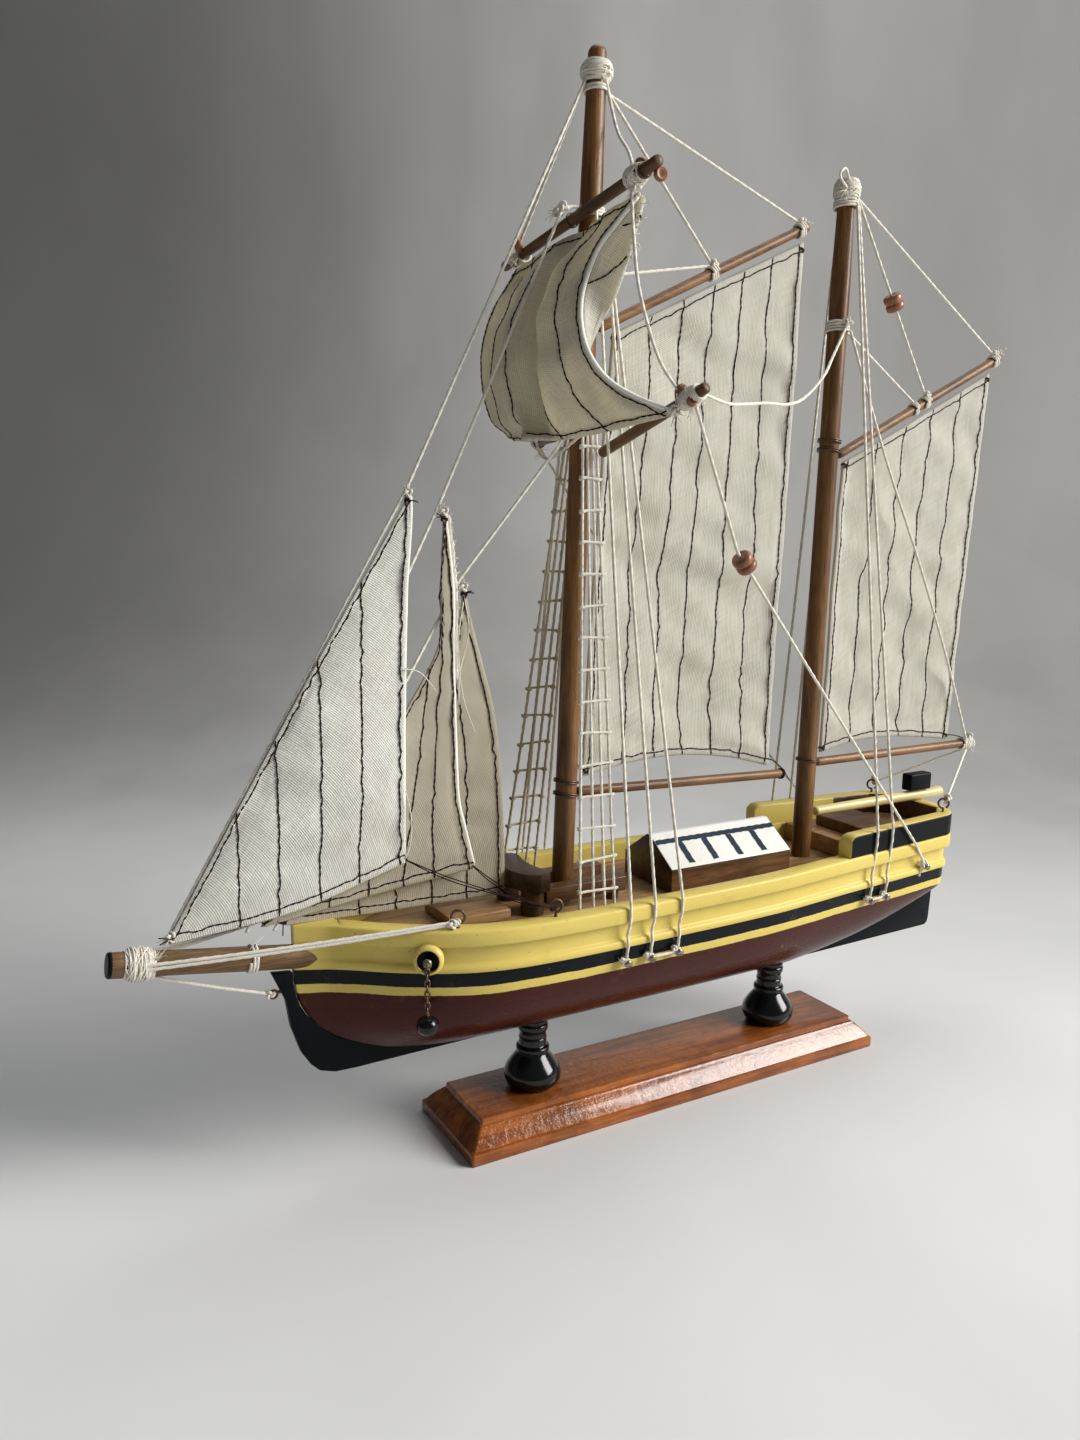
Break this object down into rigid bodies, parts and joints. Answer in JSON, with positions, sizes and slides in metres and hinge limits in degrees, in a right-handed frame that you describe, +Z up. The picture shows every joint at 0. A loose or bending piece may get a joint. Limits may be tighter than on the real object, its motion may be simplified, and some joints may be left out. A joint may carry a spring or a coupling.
{
  "type": "model sailing ship",
  "caption": "Decorative wooden model of a gaff-rigged sailing vessel with cloth sails and cord rigging, on a display stand.",
  "frame": {"origin": "centre of the stand's underside", "axes": "+X towards the stern, -Y towards the port side, +Z up"},
  "size_m": [0.3082, 0.0903, 0.3044],
  "materials": {
    "varnished_stand": "glossy red-brown varnish",
    "black_gloss": "gloss black paint",
    "hull_paint": "gloss paint in bands: pale yellow topsides, black stripe, maroon bottom",
    "spar_wood": "varnished dowel",
    "deck_wood": "brown stain",
    "house_paint": "white painted roof with dark blue bars over stained sides",
    "bead_wood": "dull stain",
    "tiller_paint": "pale yellow paint",
    "canvas": "unbleached plain-weave cotton with dark stitched seams",
    "cord": "twisted white cotton",
    "ring": "pale yellow ring with a worn brass-coloured edge",
    "wire": "browned wire",
    "anchor_black": "gloss black"
  },
  "bodies": {
    "model": {"stand_base": "varnished_stand", "pedestal_fore": "black_gloss", "pedestal_aft": "black_gloss", "hull": "hull_paint", "stem_plate": "black_gloss", "deadwood_plate": "black_gloss", "quarter_bulwark": "hull_paint", "foredeck_block": "deck_wood", "windlass_beam": "deck_wood", "fife_rail_port": "deck_wood", "fife_rail_starboard": "deck_wood", "deckhouse": "house_paint", "poop_step": "deck_wood", "poop_locker": "deck_wood", "tiller": "tiller_paint", "rudder_head": "black_gloss", "hawse_port": "ring", "hawse_starboard": "ring", "eye_bow_port": "wire", "eye_bow_starboard": "wire", "eye_waist_port": "wire", "eye_stern_port": "wire", "eye_stern_starboard": "wire", "eye_stem": "wire", "foremast": "spar_wood", "mizzen_mast": "spar_wood", "bowsprit": "spar_wood", "mizzen_gaff": "spar_wood", "mizzen_boom": "spar_wood", "upper_yard": "spar_wood", "lower_yard_port": "spar_wood", "lower_yard_starboard": "spar_wood", "mizzen_sail": "canvas", "topsail": "canvas", "outer_jib": "canvas", "inner_jib": "canvas", "staysail": "canvas", "ratlines_port": "cord", "ratlines_starboard": "cord", "topmast_stays": "cord", "masthead_rigging": "cord", "forestay_inner": "cord", "mizzen_shrouds": "cord", "bowsprit_rigging": "cord", "mizzen_halyards": "cord", "mizzen_mid_rigging": "cord", "brace_port": "cord", "brace_starboard": "cord", "brace_bead_port": "bead_wood", "halyard_bead": "bead_wood", "mizzen_sheets": "cord"},
    "main_sail_set": {"main_gaff": "spar_wood", "main_boom": "spar_wood", "mainsail": "canvas", "main_halyards": "cord"},
    "anchor_tackle_port": {"anchor_chain_port": "wire", "anchor_port": "anchor_black"},
    "anchor_tackle_starboard": {"anchor_chain_starboard": "wire", "anchor_starboard": "anchor_black"}
  },
  "joints": [
    {"name": "main_sail_swing", "type": "hinge", "parent": "model", "child": "main_sail_set", "pos_m": [-0.0393, 0, 0.062], "axis": [0.0313, 0, 0.9995], "range_deg": [-8, 8]},
    {"name": "anchor_swing_port", "type": "hinge", "parent": "model", "child": "anchor_tackle_port", "pos_m": [-0.09366, -0.0242, 0.0659], "axis": [-0.5106, -0.8598, 0], "range_deg": [-15, 15]},
    {"name": "anchor_swing_starboard", "type": "hinge", "parent": "model", "child": "anchor_tackle_starboard", "pos_m": [-0.09366, 0.0242, 0.0659], "axis": [-0.5106, 0.8598, 0], "range_deg": [-15, 15]}
  ]
}
